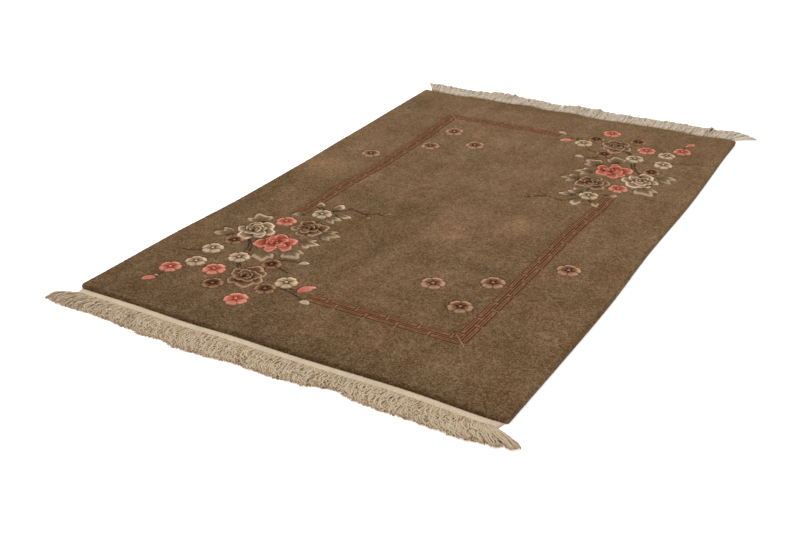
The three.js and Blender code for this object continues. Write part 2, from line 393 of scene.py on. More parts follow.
# Painted shade: each tuft darkens towards its edge.
tuft_edge_shaded = times(bunched, spread(off_tuft, 1.34, 0.78, 0.15, 0.75))
fibre_shade = times(tuft_edge_shaded, spread(fibres["Fac"], 0.86, 1.14))
mottle_shade = times(spread(noise(place, 90), 0.94, 1.06), spread(noise(place, 40), 0.88, 1.12))
broad_shade = times(spread(noise(lengthwise, 14), 0.86, 1.14), spread(noise(crosswise, 9), 0.90, 1.10))
shade = times(times(fibre_shade, mottle_shade), broad_shade)
knot_dye = add("ShaderNodeAttribute", {"attribute_name": "dye"}).outputs
lighter = times(maths("SUBTRACT", shade, 1.0), knot_dye["Alpha"])
warmth = add("ShaderNodeMixRGB", Fac=spread(noise(place, 13), 0.0, 1.0), Color1=COOL, Color2=WARM)
warm_dye = vectors("MULTIPLY", knot_dye["Color"], warmth.outputs["Color"])
tinted = scaled(warm_dye, maths("MULTIPLY_ADD", lighter, FIBRE_TINT, 1.0))
# Painted glint and shade: the grain's light and dark add grey to the dye.
tone = vectors("ADD", tinted, scaled(GRAIN_GLINT_AND_SHADE, lighter))
finished(tone, 0.4, 0.002, maths("SUBTRACT", noise(place, 520), off_tuft))


def coloured(made, colours, mottled=1.0):
    """Gives each point of a piece its dye, with how mottled it shows as the dye's alpha."""
    dyes = made.data.attributes.new("dye", "FLOAT_COLOR", "POINT")
    alpha = np.full((len(colours), 1), mottled)
    dyes.data.foreach_set("color", np.concatenate([linear(colours), alpha], axis=1).ravel())


def dyed(made, colours, mottled=1.0):
    """Dyes a wool piece, and hides the knotted body that the wool pieces stand in for."""
    coloured(made, colours, mottled)
    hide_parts("knotted_rug")
    return made


band_u, band_v, band_z, band_dye = fret_band()
band_points = [np.stack([*laid(turn * band_u, turn * band_v), band_z], axis=-1) for turn in (1, -1)]
band_quads, band_ends = strip_faces(*band_u.shape)
band_faces = []
for first in (0, band_u.size):
    band_faces += (first + band_quads).tolist() + (first + band_ends).tolist()
key_fret = piece("key_fret", np.concatenate(band_points).reshape(-1, 3), band_faces, wool)
dyed(key_fret, np.tile(band_dye.reshape(-1, 3), (2, 1)), FRET_MOTTLE)

for turn in (1, -1):
    right_of_corner = turn * u - FRET_RIGHT
    above_corner = turn * v + FRET_NEAR
    on_near_run = right_of_corner + above_corner < 0
    s = np.where(on_near_run, -right_of_corner, above_corner)
    w = np.where(on_near_run, above_corner, -right_of_corner)
    band = np.minimum(FRET_HALF - np.abs(w), np.where(on_near_run, FRET_NEAR_RUN, FRET_RIGHT_RUN) - s)
    sunk = np.maximum(sunk, ramp(band, -HALF_KNOT, HALF_KNOT))
    near_cut = np.minimum(near_cut, np.abs(band))
    hidden = np.maximum(hidden, band)

# The stems are single dark lines of knots with a shallow cut along each side, made with the field.
# Each row is one stem's route across the field, running from flower to flower.
STEM_BROWN = (67, 46, 30)
STEM_HALF = 0.0019
STEM_CUT = 0.45
STEM_MARGIN = 0.012
STEMS = [
    [(-0.520, -0.634), (-0.490, -0.633), (-0.462, -0.618)],
    [(-0.406, -0.492), (-0.378, -0.516), (-0.362, -0.545), (-0.352, -0.585)],
    [(-0.398, -0.494), (-0.361, -0.525), (-0.345, -0.560)],
    [(-0.299, -0.530), (-0.271, -0.566)],
    [(-0.322, -0.630), (-0.294, -0.657)],
    [(-0.330, -0.630), (-0.305, -0.658)],
    [(-0.220, -0.602), (-0.178, -0.614)],
    [(-0.240, -0.570), (-0.215, -0.555), (-0.190, -0.552)],
    [(-0.149, -0.690), (-0.107, -0.698), (-0.063, -0.714)],
    [(-0.130, -0.680), (-0.100, -0.688), (-0.080, -0.686)],
    [(-0.288, -0.236), (-0.250, -0.192), (-0.203, -0.204), (-0.174, -0.190), (-0.150, -0.165)],
    [(-0.196, -0.203), (-0.178, -0.222)],
    [(-0.463, -0.770), (-0.465, -0.795)],
    [(-0.330, -0.225), (-0.300, -0.250)],
    [(-0.290, -0.300), (-0.288, -0.325)],
]

for route in STEMS:
    middle = np.mean(route, axis=0)
    points = np.subtract(route, middle)
    for at, x, y in windows(middle, STEM_MARGIN + np.max(np.abs(points))):
        off_each = [off_stretch(x, y, start, end) for start, end in zip(points, points[1:])]
        off_stem = np.min(off_each, axis=0)
        dye[at] = mixed(dye[at], STEM_BROWN, ramp(STEM_HALF - off_stem, -HALF_KNOT, HALF_KNOT))
        cut[at] = np.maximum(cut[at], STEM_CUT * bell(off_stem - STEM_HALF, CUT_HALF_WIDTH))
        near_cut[at] = np.minimum(near_cut[at], off_stem)

# The leaves are greyed cream with one, two or three pointed lobes, carved a little proud of the field.
# Each lobe is a lens from the leaf's foot to a tip, with a vein sheared down it, and palest along its rim.
# Like every carved motif a leaf is a shell of its own whose skirt stands in a bed sheared out of the pile.
LEAF_DARK = (98, 76, 52)
LEAF_PALE = (126, 102, 77)
LEAF_RIM = (204, 176, 146)
# The lobes of a leaf of one, two or three: each one's turn in degrees and its share of the leaf's length.
LOBES = {1: [(0, 1.0)], 2: [(20, 1.0), (-24, 0.9)], 3: [(0, 1.0), (42, 0.80), (-42, 0.80)]}
LEAF_FOOT = 0.003
LEAF_FOOT_PALE = 0.3
LEAF_GROWN = (0.05, 0.60)
LEAF_RIM_FROM = (0.55, 0.85)
LEAF_JAG = 0.05
LEAF_JAGS = 11
LOBE_RISE = 0.0016
LOBE_EDGE = 0.0034
VEIN_HALF = 0.0013
VEIN_DEPTH = 0.0014
VEIN_DARK = 0.5
VEIN_END = 0.85
VEIN_FADE = 0.2
BED_CLEAR = 0.0010
BED_MARGIN = 0.006
REACH_SPARE = 1.05
REACH_SPOKES = 73
SKIRT = 0.0055
# Painted shade: a motif darkens towards its outline, where it drops into its bed.
EDGE_PAINTED_SHADE = 0.12
EDGE_FROM = (0.92, 1.0)
MOTTLE_SHOWN = 0.55
# Painted light and shade: slopes facing the far fringe, towards the key light, are paler, and those facing
# the near fringe darker.
SLOPE_PAINTED_LIGHT = 0.32
LEAST_AREA = 1e-9
# Grids of rings and spokes; rings draw closer towards the rim by this power.
RING_POWER = 1.5
SMALL_GRID = (12, 40)
LEAF_GRID = (12, 72)
# Each row: the base u and v, the heading in degrees, length, width, lobes and how pale it is, from 0 to 1.
LEAVES = [
    (-0.338, -0.232, 117, 0.045, 0.024, 1, 1.0),
    (-0.292, -0.229, 86, 0.053, 0.032, 1, 1.0),
    (-0.268, -0.250, 4, 0.049, 0.027, 1, 1.0),
    (-0.282, -0.282, -5, 0.048, 0.026, 2, 0.8),
    (-0.351, -0.291, 198, 0.038, 0.024, 1, 0.9),
    (-0.233, -0.377, 8, 0.058, 0.028, 3, 0.75),
    (-0.232, -0.388, -22, 0.042, 0.022, 1, 0.6),
    (-0.431, -0.394, 132, 0.066, 0.037, 3, 0.80),
    (-0.251, -0.449, 8, 0.054, 0.028, 3, 0.9),
    (-0.452, -0.495, 177, 0.060, 0.031, 2, 0.70),
    (-0.251, -0.509, -32, 0.056, 0.036, 3, 0.72),
    (-0.303, -0.549, -65, 0.052, 0.036, 3, 0.72),
]


def along_across(x, y, heading):
    """The same places measured along a heading and across it."""
    return x * math.cos(heading) + y * math.sin(heading), y * math.cos(heading) - x * math.sin(heading)


def far_slope(p, q, height, heading):
    """How far each point of a grid of rings and spokes slopes down towards the far fringe: the height's
    steps along the rings and spokes, turned into a slope by the places' steps, held between -1 and 1."""
    x, y = along_across(p, q, -heading)
    steps = [np.gradient(values, axis=0) for values in (x, y, height)]
    around = [(np.roll(values, -1, axis=1) - np.roll(values, 1, axis=1)) / 2 for values in (x, y, height)]
    area = steps[0] * around[1] - around[0] * steps[1]
    fall = around[0] * steps[2] - steps[0] * around[2]
    return np.clip(fall / np.where(area > LEAST_AREA, area, np.inf), -1, 1)


def unrolled(grid):
    """A shell's points in order, from a grid of rings and spokes: its middle, its rings, then its rim and
    its middle once more for the skirt's foot."""
    return np.concatenate([grid[0, :1], grid[1:].reshape(-1, *grid.shape[2:]), grid[-1], grid[0, :1]])


def motif(place, heading, radius_at, surface, grid):
    """One carved motif. Its bed is sunk wherever a knot is within the outline, by the distance along its
    spoke. Its shell is a grid of rings and spokes about its middle, and the same turned half round the
    rug's middle: radius_at gives the outline at a spoke's angle from the heading, and surface gives the
    height over the field and the dye from the share of the way out, the angle, and p and q, which are along
    the heading and across it.
    A skirt drops from the rim, and one point closes its foot. Light and shade are painted on the slopes, as
    if lit from behind and as the pile leans towards the near fringe: a slope that faces the far fringe is
    paler than one that faces the near one."""
    rings, spokes = grid
    reach = BED_MARGIN + REACH_SPARE * np.max(radius_at(np.linspace(-np.pi, np.pi, REACH_SPOKES)))
    for at, x, y in windows(place, reach):
        p, q = along_across(x, y, heading)
        inside = radius_at(np.arctan2(q, p)) - np.hypot(p, q)
        sunk[at] = np.maximum(sunk[at], ramp(inside, -BED_CLEAR - HALF_KNOT, -BED_CLEAR + HALF_KNOT))
        near_cut[at] = np.minimum(near_cut[at], np.abs(inside + BED_CLEAR))
        hidden[at] = np.maximum(hidden[at], inside)
    angle = 2 * np.pi * np.arange(spokes) / spokes
    share = (1 - (1 - np.linspace(0, 1, rings + 1)) ** RING_POWER)[:, None]
    p = share * radius_at(angle) * np.cos(angle)
    q = share * radius_at(angle) * np.sin(angle)
    height, colour = surface(share, angle, p, q)
    # Painted shade round the rim, where the shell drops into its bed.
    colour = colour * (1 - EDGE_PAINTED_SHADE * ramp(share, *EDGE_FROM))[..., None]
    painted_slope_light = SLOPE_PAINTED_LIGHT * far_slope(p, q, height, heading)
    p, q = unrolled(p), unrolled(q)
    z = PILE_TOP + np.concatenate([height[0, :1], height[1:].ravel(), np.full(spokes + 1, -SKIRT)])
    shells = []
    at_u = place[0] + p * math.cos(heading) - q * math.sin(heading)
    at_v = place[1] + p * math.sin(heading) + q * math.cos(heading)
    for turn in (1, -1):
        # Painted light and shade on the slopes, facing the same way in the world for both copies.
        lit = unrolled(colour * (1 + turn * painted_slope_light)[..., None])
        shells.append((np.stack([*laid(turn * at_u, turn * at_v), z], axis=1), lit))
    return shells


def shell_faces(rings, spokes):
    """One shell's faces by index: a fan at its middle, quads from ring to ring and down the skirt, and a
    fan under its foot."""
    ring = 1 + np.arange((rings + 1) * spokes).reshape(rings + 1, spokes)
    after = np.roll(ring, -1, axis=1)
    top = np.stack([0 * ring[0], ring[0], after[0]], axis=-1)
    foot = np.stack([0 * ring[0] + ring[-1, -1] + 1, after[-1], ring[-1]], axis=-1)
    return loop_quads(ring), np.concatenate([top, foot])


def carved(name, shells, grid):
    """All the shells of one kind as one piece: the same faces for each, moved on by its first index."""
    firsts = np.arange(len(shells))[:, None, None] * len(shells[0][0])
    quads, fans = shell_faces(*grid)
    faces = (firsts + quads).reshape(-1, 4).tolist() + (firsts + fans).reshape(-1, 3).tolist()
    made = piece(name, np.concatenate([points for points, colours in shells]), faces, wool)
    return dyed(made, np.concatenate([colours for points, colours in shells]), MOTTLE_SHOWN)


def leaf_radius(length, width, lobes):
    """A leaf's outline about its foot: the farthest of its lobes, with a jagged edge. A lobe is the lens
    between two arcs from the foot to its tip, which leave the foot at half_angle to either side: its radius
    is its length times the sine of what is left of that angle, over the sine of all of it."""
    half_angle = 2 * math.atan(width / length)

    def radius_at(angle):
        """The farthest lobe along each spoke, and at least the foot's own radius."""
        farthest = np.full(np.shape(angle), LEAF_FOOT)
        for turn, lobe_share in lobes:
            off_lobe = angle - math.radians(turn)
            off_lobe = np.abs(np.arctan2(np.sin(off_lobe), np.cos(off_lobe)))
            lens = np.sin(np.maximum(half_angle - off_lobe, 0)) / math.sin(half_angle)
            farthest = np.maximum(farthest, lobe_share * length * lens)
        return farthest * (1 + LEAF_JAG * np.sin(LEAF_JAGS * angle))

    return radius_at


def leaf_surface(length, lobes, paleness):
    """A leaf's height and dye: a low dome with a vein down each lobe, dark at the foot, pale at the rim."""
    def surface(share, angle, p, q):
        """Both are worked out from the distance across each vein and the share of the way out."""
        from_foot = np.hypot(p, q)
        vein = np.zeros(p.shape)
        for turn, _ in lobes:
            ahead, off_vein = along_across(p, q, math.radians(turn))
            vein = np.maximum(vein, bell(off_vein, VEIN_HALF) * (ahead > 0))
        vein = vein * ramp(VEIN_END - share, 0, VEIN_FADE)
        grown = ramp(from_foot / length, *LEAF_GROWN)
        colour = mixed(LEAF_DARK, LEAF_PALE, paleness * (LEAF_FOOT_PALE + (1 - LEAF_FOOT_PALE) * grown))
        colour = mixed(colour, LEAF_RIM, paleness * grown * ramp(share, *LEAF_RIM_FROM))
        height = LOBE_RISE - LOBE_EDGE * share ** 5 - VEIN_DEPTH * vein
        return height, mixed(colour, LEAF_DARK, VEIN_DARK * vein)

    return surface


leaf_shells = []
for base_u, base_v, heading, length, width, lobes, paleness in LEAVES:
    leaf_shells += motif((base_u, base_v), math.radians(heading), leaf_radius(length, width, LOBES[lobes]),
                         leaf_surface(length, LOBES[lobes], paleness), LEAF_GRID)
leaves = carved("leaves", leaf_shells, LEAF_GRID)

# The peonies are the large flowers: rings of petals carved one by one, each ring standing over the last.
# A petal is an ellipse drawn to a point or notched at its tip, deep at the root and pale along its rim.
# The deep root is partly the petal's darker dye and partly painted shade in the crease under the ring that
# stands over it, and painted shade darkens each petal's very edge where it lies over the one below.
# Dyes are for the petal, its rim and its root.
PEONY_CORAL = ((178, 92, 71), (220, 145, 123), (96, 31, 17))
PEONY_CREAM = ((144, 117, 89), (222, 194, 164), (54, 37, 23))
PEONY_BROWN = ((110, 78, 52), (180, 145, 116), (44, 23, 10))
PETAL_ROOT_DOWN = 0.0024
PETAL_CUP = 0.0008
PETAL_ROLL = 0.0009
PETAL_EDGE = 0.0034
PETAL_WAVINESS = 0.085
# Painted shade at a petal's very edge, where it lies over the petal below.
PETAL_EDGE_PAINTED_SHADE = 0.30
PETAL_SHADE_FROM = (0.93, 1.0)
PETAL_LIFT_OVER = (-1.0, 0.6)
PETAL_TIP_REACH = 0.4
PETAL_RIM_FROM = (0.56, 0.82)
PETAL_RIM_BACK = (-0.5, 0.3)
PETAL_ROOT_TO = (-0.55, 0.50)
# How much petals differ: in their places round the flower, their sizes, their places out and their turns.
# Each goes by a sine of the petal's number, at a rate of its own.
PETAL_SWAY = 0.20
PETAL_UNLIKE = 0.20
PETAL_SHIFT = 0.10
PETAL_TWIST = 0.45
PEONY_EYE_SHARE = 0.10
PEONY_EYE_RISE = 0.0036
# Each ring row: petals, how far out, half length, half width, as shares of the radius, stagger and lift.
FULL_RINGS = [(6, 0.60, 0.44, 0.42, 0.0, 0.0006), (5, 0.33, 0.33, 0.30, 0.5, 0.0018),
              (3, 0.14, 0.22, 0.20, 0.2, 0.0030)]
STAR_RINGS = [(6, 0.60, 0.44, 0.37, 0.0, 0.0006), (5, 0.33, 0.33, 0.29, 0.5, 0.0018),
              (3, 0.14, 0.22, 0.19, 0.2, 0.0030)]
# Each flower row: u, v, diameter, turn in degrees, how far petal tips are drawn out, rings and dyes.
PEONIES = [
    (-0.286, -0.366, 0.104, 20, -0.06, FULL_RINGS, PEONY_BROWN),
    (-0.412, -0.445, 0.113, 75, -0.05, FULL_RINGS, PEONY_CREAM),
    (-0.309, -0.487, 0.112, 95, 0.07, STAR_RINGS, PEONY_CORAL),
    (-0.257, -0.682, 0.112, 50, -0.06, FULL_RINGS, PEONY_BROWN),
]


def petal_radius(half_length, half_width, tip, wave=0.0, waviness=0.0):
    """A petal's outline about its middle: an ellipse, drawn out or in round the heading by a bell curve,
    with waves of three and five to the turn that start at an angle of its own."""
    def radius_at(angle):
        """The ellipse's radius times one plus the tip's bell and the waves."""
        from_tip = np.arctan2(np.sin(angle), np.cos(angle))
        ellipse = 1 / np.hypot(np.cos(angle) / half_length, np.sin(angle) / half_width)
        waves = waviness * (np.sin(3 * angle + wave) + 0.7 * np.sin(5 * angle + 2.3 * wave))
        return ellipse * (1 + tip * bell(from_tip, PETAL_TIP_REACH) + waves)

    return radius_at


def petal_surface(half_length, half_width, lift, roll, petal_dye, rim_dye, deep_dye):
    """A petal's height and dye: it climbs from its root to its lift, cups up towards its rim and rolls a
    little to one side, so that it lies over one neighbour and under the other."""
    def surface(share, angle, p, q):
        """Both are worked out from the share of the petal's length and the share of the way out."""
        out = p / half_length
        rim = ramp(share, *PETAL_RIM_FROM) * ramp(out, *PETAL_RIM_BACK)
        # The root's deep dye is partly dye and partly painted shade in the crease under the next ring.
        colour = mixed(mixed(deep_dye, petal_dye, ramp(out, *PETAL_ROOT_TO)), rim_dye, rim)
        # Painted shade: the petal darkens towards the deep dye at its very edge.
        colour = mixed(colour, deep_dye, PETAL_EDGE_PAINTED_SHADE * ramp(share, *PETAL_SHADE_FROM) + 0 * out)
        height = lift * ramp(out, *PETAL_LIFT_OVER) - PETAL_ROOT_DOWN * ramp(-out, 0.0, 1.0)
        height = height + PETAL_CUP * share ** 2 - PETAL_EDGE * share ** 6 + roll * q / half_width
        return height, colour

    return surface


peony_shells = []
for flower_u, flower_v, size, turn, tip, rings, dyes in PEONIES:
    radius = size / 2
    for petals, out, half_length, half_width, stagger, lift in rings:
        for k in range(petals):
            sway = PETAL_SWAY * math.sin(5.0 * k + turn)
            grown = radius * (1 + PETAL_UNLIKE * math.sin(2.3 * k + 0.1 * turn))
            halves = (half_length * grown, half_width * grown)
            angle = math.radians(turn) + 2 * math.pi * (k + stagger + sway) / petals
            placed = out * radius * (1 + PETAL_SHIFT * math.sin(3.1 * k + turn))
            middle = (flower_u + placed * math.cos(angle), flower_v + placed * math.sin(angle))
            roll = PETAL_ROLL * math.cos(1.7 * k + turn)
            angle += PETAL_TWIST * math.sin(4.0 * k + turn)
            peony_shells += motif(middle, angle, petal_radius(*halves, tip, 2.0 * k + turn, PETAL_WAVINESS),
                                  petal_surface(*halves, lift, roll, *dyes), SMALL_GRID)
    eye = PEONY_EYE_SHARE * radius
    petal_dye, rim_dye, _ = dyes
    eye_surface = petal_surface(eye, eye, PEONY_EYE_RISE, 0.0, rim_dye, rim_dye, petal_dye)
    peony_shells += motif((flower_u, flower_v), 0.0, petal_radius(eye, eye, 0.0), eye_surface, SMALL_GRID)
peonies = carved("peonies", peony_shells, SMALL_GRID)

# The plum blossoms are the small flowers: five round petals with clefts sheared between them and darkened
# with painted shade, a dark star where they meet and a pale eye in it. A petal's outline is an arc, folded
# five times round the flower.
# Dyes are for the petal, its rim, the star and the eye. Each row: u, v, diameter, turn in degrees and dyes.
BLOSSOM_CREAM = ((160, 132, 103), (208, 180, 150), (76, 55, 40), (212, 190, 164))
BLOSSOM_YELLOW = ((162, 133, 98), (210, 181, 142), (72, 56, 50), (214, 196, 176))
BLOSSOM_CORAL = ((176, 93, 74), (216, 145, 122), (126, 50, 34), (220, 148, 124))
BLOSSOM_BROWN = ((84, 53, 30), (158, 120, 88), (44, 21, 9), (150, 112, 80))
BLOSSOM_ROSE = ((120, 82, 56), (180, 140, 112), (56, 29, 13), (172, 132, 104))
PETAL_OUT = 0.47
PETAL_RADIUS = 0.54
NOTCH_SHARE = 0.07
NOTCH_REACH = 0.16
BLOSSOM_RIM_FROM = (0.48, 0.82)
BLOSSOM_RISE = 0.0022
BLOSSOM_RISE_OVER = (0.2, 0.6)
CLEFT_HALF = 0.0017
CLEFT_DEPTH = 0.0019
CLEFT_PAINTED_SHADE = 0.42
CLEFT_FROM = (0.2, 0.5)
STAR_SHARE = 0.33
STAR_POINT_SHARE = 0.09
STAR_SOFT = 0.06
EYE_SHARE = 0.13
EYE_SOFT = 0.04
EYE_RISE = 0.0022
BLOSSOM_EDGE = 0.0032
BLOSSOM_GRID = (16, 100)
BLOSSOMS = [
    (-0.309, -0.264, 0.062, 10, BLOSSOM_CREAM),
    (-0.442, -0.595, 0.062, 40, BLOSSOM_CREAM),
    (-0.345, -0.604, 0.062, 25, BLOSSOM_CREAM),
    (-0.430, -0.678, 0.060, 55, BLOSSOM_CREAM),
    (-0.148, -0.661, 0.063, 15, BLOSSOM_YELLOW),
    (-0.370, -0.356, 0.063, 30, BLOSSOM_CORAL),
    (-0.358, -0.691, 0.065, 5, BLOSSOM_CORAL),
    (-0.467, -0.736, 0.062, 20, BLOSSOM_CORAL),
    (-0.205, -0.792, 0.065, 60, BLOSSOM_CORAL),
    (-0.423, -0.526, 0.057, 35, BLOSSOM_BROWN),
    (-0.243, -0.597, 0.058, 12, BLOSSOM_BROWN),
    (-0.175, -0.715, 0.060, 50, BLOSSOM_BROWN),
    (-0.310, -0.755, 0.060, 28, BLOSSOM_BROWN),
    (0.178, -0.482, 0.067, 18, BLOSSOM_ROSE),
    (0.310, -0.407, 0.067, 40, BLOSSOM_ROSE),
    (0.295, -0.557, 0.067, 5, BLOSSOM_ROSE),
    (0.451, -0.250, 0.067, 30, BLOSSOM_ROSE),
]


def folded(angle):
    """The angle from the nearest petal's middle, from 0 to a tenth of a turn."""
    return np.abs((angle + math.pi / 5) % (2 * math.pi / 5) - math.pi / 5)


def blossom_radius(radius):
    """A blossom's outline: the far side of the nearest petal's circle, seen from the middle of the flower,
    with a notch at the petal's tip."""
    def radius_at(angle):
        """The run along the spoke to the circle's middle, and on to its far side."""
        fold = folded(angle)
        far_side = PETAL_OUT * np.cos(fold) + np.sqrt(PETAL_RADIUS ** 2 - (PETAL_OUT * np.sin(fold)) ** 2)
        return radius * far_side * (1 - NOTCH_SHARE * bell(fold, NOTCH_REACH))

    return radius_at


def blossom_surface(petal_dye, rim_dye, star_dye, eye_dye):
    """A blossom's height and dye: petals rise from the star to their rims, with clefts between them."""
    def surface(share, angle, p, q):
        """Clefts are bell curves of the distance from the line between petals; the star has five points."""
        off_cleft = np.hypot(p, q) * np.sin(math.pi / 5 - folded(angle))
        cleft = bell(off_cleft, CLEFT_HALF) * ramp(share, *CLEFT_FROM)
        star = ramp(STAR_SHARE - STAR_POINT_SHARE * np.cos(5 * angle) - share, -STAR_SOFT, STAR_SOFT)
        eye = ramp(EYE_SHARE - share + 0 * angle, -EYE_SOFT, EYE_SOFT)
        colour = mixed(petal_dye, rim_dye, ramp(share, *BLOSSOM_RIM_FROM) + 0 * angle)
        # Painted shade darkens the clefts towards the star's dye.
        colour = mixed(colour, star_dye, CLEFT_PAINTED_SHADE * cleft)
        colour = mixed(mixed(colour, star_dye, star), eye_dye, eye)
        height = BLOSSOM_RISE * ramp(share, *BLOSSOM_RISE_OVER) - CLEFT_DEPTH * cleft + EYE_RISE * eye
        return height - BLOSSOM_EDGE * share ** 6, colour

    return surface


blossom_shells = []
for flower_u, flower_v, size, turn, dyes in BLOSSOMS:
    blossom_shells += motif((flower_u, flower_v), math.radians(turn), blossom_radius(size / 2),
                            blossom_surface(*dyes), BLOSSOM_GRID)
plum_blossoms = carved("plum_blossoms", blossom_shells, BLOSSOM_GRID)

# The buds close the twigs: each is an egg of pale or coral knots standing in its own cut, paler at the tip.
# Each row: u, v, heading in degrees, length, width, and the dyes of its base and its tip.
BUD_WHITE = (180, 152, 124)
BUD_WHITE_TIP = (210, 186, 158)
BUD_CORAL = (214, 146, 124)
BUD_CORAL_DEEP = (192, 112, 92)
BUD_CORAL_TIP = (214, 170, 146)
BUD_OLIVE = (118, 93, 60)
BUD_OLIVE_TIP = (178, 152, 118)
BUD_LIFT = 0.0012
BUD_TIP = 0.08
BUDS = [
    (-0.086, -0.668, 55, 0.044, 0.031, BUD_CORAL_DEEP, BUD_CORAL),
    (-0.073, -0.653, 45, 0.018, 0.016, BUD_CORAL, BUD_CORAL_TIP),
    (-0.050, -0.723, -20, 0.034, 0.022, BUD_WHITE, BUD_WHITE_TIP),
    (-0.174, -0.550, 15, 0.031, 0.021, BUD_WHITE, BUD_WHITE_TIP),
    (-0.474, -0.809, 240, 0.040, 0.025, BUD_CORAL_DEEP, BUD_CORAL),
    (-0.466, -0.790, 250, 0.013, 0.012, BUD_WHITE, BUD_WHITE),
    (-0.143, -0.177, 50, 0.028, 0.014, BUD_OLIVE, BUD_OLIVE_TIP),
    (-0.180, -0.219, -60, 0.026, 0.014, BUD_OLIVE, BUD_OLIVE_TIP),
    (-0.158, -0.181, 110, 0.018, 0.010, BUD_OLIVE, BUD_OLIVE_TIP),
]

bud_shells = []
for bud_u, bud_v, heading, length, width, base_dye, tip_dye in BUDS:
    halves = (length / 2, width / 2)
    bud_shells += motif((bud_u, bud_v), math.radians(heading), petal_radius(*halves, BUD_TIP),
                        petal_surface(*halves, BUD_LIFT, 0.0, base_dye, tip_dye, base_dye), SMALL_GRID)
buds = carved("buds", bud_shells, SMALL_GRID)

# Shearing the field: its pile is shorn level, sunk under every motif and grooved along the stems.
# Its top is every knot near a cut and, where the field is plain, every second or fourth one. A rounded
# shoulder and a tufted wall run down to the floor, and a flat underside closes it.
CORNER_RADIUS = 0.007
LEAST_RADIUS = 0.0005
SHOULDER_IN = 0.006
SHOULDER_DOWN = 0.007
CUT_DEPTH = 0.0045
BED_DEPTH = 0.0034
FULL_WITHIN = 0.0034
HALF_WITHIN = 0.0080
HIDDEN_WITHIN = 0.0040
RING_STEP = 0.0042
CORNER_STEPS = 5
WALL_SHARES = (0.0, 0.25, 0.5, 0.75)
SHOULDER_STEPS = 5
WALL_TUFT = 0.0007
FIELD_TUFT = 0.0002
UNDERSIDE_REACH = (0.56, 0.88)
UNDERSIDE_STEP = 0.040
MERGE_WITHIN = 1e-7
# A quad's corners the other way round, from the same first corner.
FLIPPED = [0, 3, 2, 1]
# Painted shade: the dye is darkened in the cuts along stems and in the beds under motifs.
CUT_PAINTED_SHADE = 0.22
BED_PAINTED_SHADE = 0.14
# Painted light: the wall's dye is lifted a little towards the floor, against the shade it stands in.
WALL_PAINTED_LIGHT = 1.05


def outline(inset):
    """The rug's outline in u and v, counter-clockwise and drawn in by inset: four straight sides in equal
    steps, joined by quarter circles that tighten as the outline is drawn in."""
    radius = max(CORNER_RADIUS - inset, LEAST_RADIUS)
    half_u = HALF_WIDTH - inset - radius
    half_v = HALF_LENGTH - inset - radius
    corners = np.array([(half_u, -half_v), (half_u, half_v), (-half_u, half_v), (-half_u, -half_v)])
    steps = [int(side / RING_STEP) for side in (RUG_LENGTH, RUG_WIDTH, RUG_LENGTH, RUG_WIDTH)]
    stretches = []
    for k, corner in enumerate(corners):
        angles = math.pi / 2 * (k - 1 + np.linspace(0, 1, CORNER_STEPS + 1))
        arc = radius * np.stack([np.cos(angles), np.sin(angles)], axis=1)
        shares = np.linspace(0, 1, steps[k], endpoint=False)[1:, None]
        stretches += [corner + arc, corner + arc[-1] + shares * (corners[(k + 1) % 4] - corner)]
    return np.concatenate(stretches)


ring_plans = []
ring_heights = []
for share in WALL_SHARES:
    ring_plans.append(outline(0.0))
    ring_heights.append(share * (PILE_TOP - SHOULDER_DOWN))
for k in range(SHOULDER_STEPS + 1):
    angle = math.pi / 2 * k / SHOULDER_STEPS
    ring_plans.append(outline(SHOULDER_IN * (1 - math.cos(angle))))
    ring_heights.append(PILE_TOP - SHOULDER_DOWN * (1 - math.sin(angle)))
ring_plans = np.array(ring_plans)
ring_count, ring_size = ring_plans.shape[:2]
ring_x, ring_y = laid(ring_plans[..., 0], ring_plans[..., 1])
tangent_x = np.roll(ring_x, -1, axis=1) - np.roll(ring_x, 1, axis=1)
tangent_y = np.roll(ring_y, -1, axis=1) - np.roll(ring_y, 1, axis=1)
tangent_size = np.hypot(tangent_x, tangent_y)
tuft = rng.normal(0, WALL_TUFT, ring_x.shape)
tuft[[0, -1]] = 0
ring_x = ring_x + tuft * tangent_y / tangent_size
ring_y = ring_y - tuft * tangent_x / tangent_size
ring_z = np.repeat(np.array(ring_heights)[:, None], ring_size, axis=1)

row_numbers, column_numbers = np.indices(u.shape)
spacing = np.where(near_cut < FULL_WITHIN, 1, np.where(near_cut < HALF_WITHIN, 2, 4))
spacing = np.where(hidden > HIDDEN_WITHIN, 4, spacing)
kept = (row_numbers % spacing == 0) & (column_numbers % spacing == 0)
kept &= np.abs(u) < HALF_WIDTH - SHOULDER_IN - HALF_KNOT
kept &= np.abs(v) < HALF_LENGTH - SHOULDER_IN - HALF_KNOT
shorn_by = np.maximum(CUT_DEPTH * cut, BED_DEPTH * sunk)
top_height = PILE_TOP - shorn_by + rng.normal(0, FIELD_TUFT, u.shape)
# Painted shade in the cuts and beds.
top_dye = dye * (1 - np.maximum(CUT_PAINTED_SHADE * cut, BED_PAINTED_SHADE * sunk))[..., None]
top_x, top_y = laid(u[kept], v[kept])


def triangles_within(ring_plan, points):
    """Delaunay triangles over a ring and the points within it, counter-clockwise, by index."""
    plan = np.concatenate([ring_plan, points])
    ring = list(range(len(ring_plan)))
    faces = np.array(delaunay_2d_cdt(plan.tolist(), [], [ring], 1, MERGE_WITHIN, False)[2])
    a, b, c = plan[faces[:, 0]], plan[faces[:, 1]], plan[faces[:, 2]]
    turned = (b[:, 0] - a[:, 0]) * (c[:, 1] - a[:, 1]) < (b[:, 1] - a[:, 1]) * (c[:, 0] - a[:, 0])
    faces[turned] = faces[turned][:, ::-1]
    return faces


